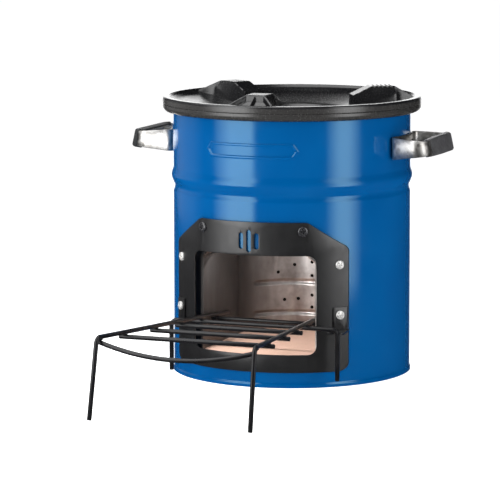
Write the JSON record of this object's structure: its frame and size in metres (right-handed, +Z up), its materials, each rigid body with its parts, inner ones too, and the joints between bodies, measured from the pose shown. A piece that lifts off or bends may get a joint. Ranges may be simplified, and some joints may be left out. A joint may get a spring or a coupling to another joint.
{
  "type": "rocket stove",
  "caption": "Round wood-burning rocket stove with a cast top and pot supports, a framed fuel opening, side carrying handles and a pull-out wire stick support.",
  "frame": {"origin": "centre of the base pan's underside, on the floor and on the axis of the round body", "axes": "+Z up along the body's axis; the fuel opening and the stick support face -Y; the carrying handles stand out along +X and -X"},
  "size_m": [0.3188, 0.4578, 0.285],
  "materials": {
    "body_paint": "gloss",
    "cast_iron": "satin",
    "frame_black": "satin",
    "galvanised": "satin",
    "grip_black": "satin",
    "chamber_steel": "satin",
    "ceramic": "matt",
    "fibre": "matt",
    "zinc": "satin",
    "dark_steel": "satin",
    "wire_black": "satin",
    "pan_steel": "satin"
  },
  "bodies": {
    "stove": {"body_shell": "body_paint", "base_pan": "pan_steel", "base_insulation": "fibre", "tile_tray": "chamber_steel", "ceramic_tile": "ceramic", "riser_liner": "chamber_steel", "fuel_chute": "chamber_steel", "insulation_blanket": "fibre", "lid_plate": "pan_steel", "top_collar": "cast_iron", "cast_top": "cast_iron", "tie_bolts": "zinc", "front_frame": "frame_black", "bracket_right": "frame_black", "bracket_left": "frame_black", "frame_screws_top": "dark_steel", "frame_screws_side": "zinc", "bracket_screws": "zinc", "frame_nuts": "zinc", "handle_strap_right": "galvanised", "handle_strap_left": "galvanised", "grip_right": "grip_black", "grip_left": "grip_black", "handle_rivets_left": "dark_steel", "handle_rivets_right": "dark_steel"},
    "stick_support": {"support_rail_left": "wire_black", "support_rail_right": "wire_black", "support_rear_hoop": "wire_black", "support_front_arc": "wire_black", "support_rung_1": "wire_black", "support_rung_2": "wire_black", "support_rung_3": "wire_black", "support_rung_4": "wire_black"}
  },
  "joints": [
    {"name": "stick_support_pull", "type": "slide", "parent": "stove", "child": "stick_support", "axis": [0, -1, 0], "range_m": [0, 0.25]}
  ]
}
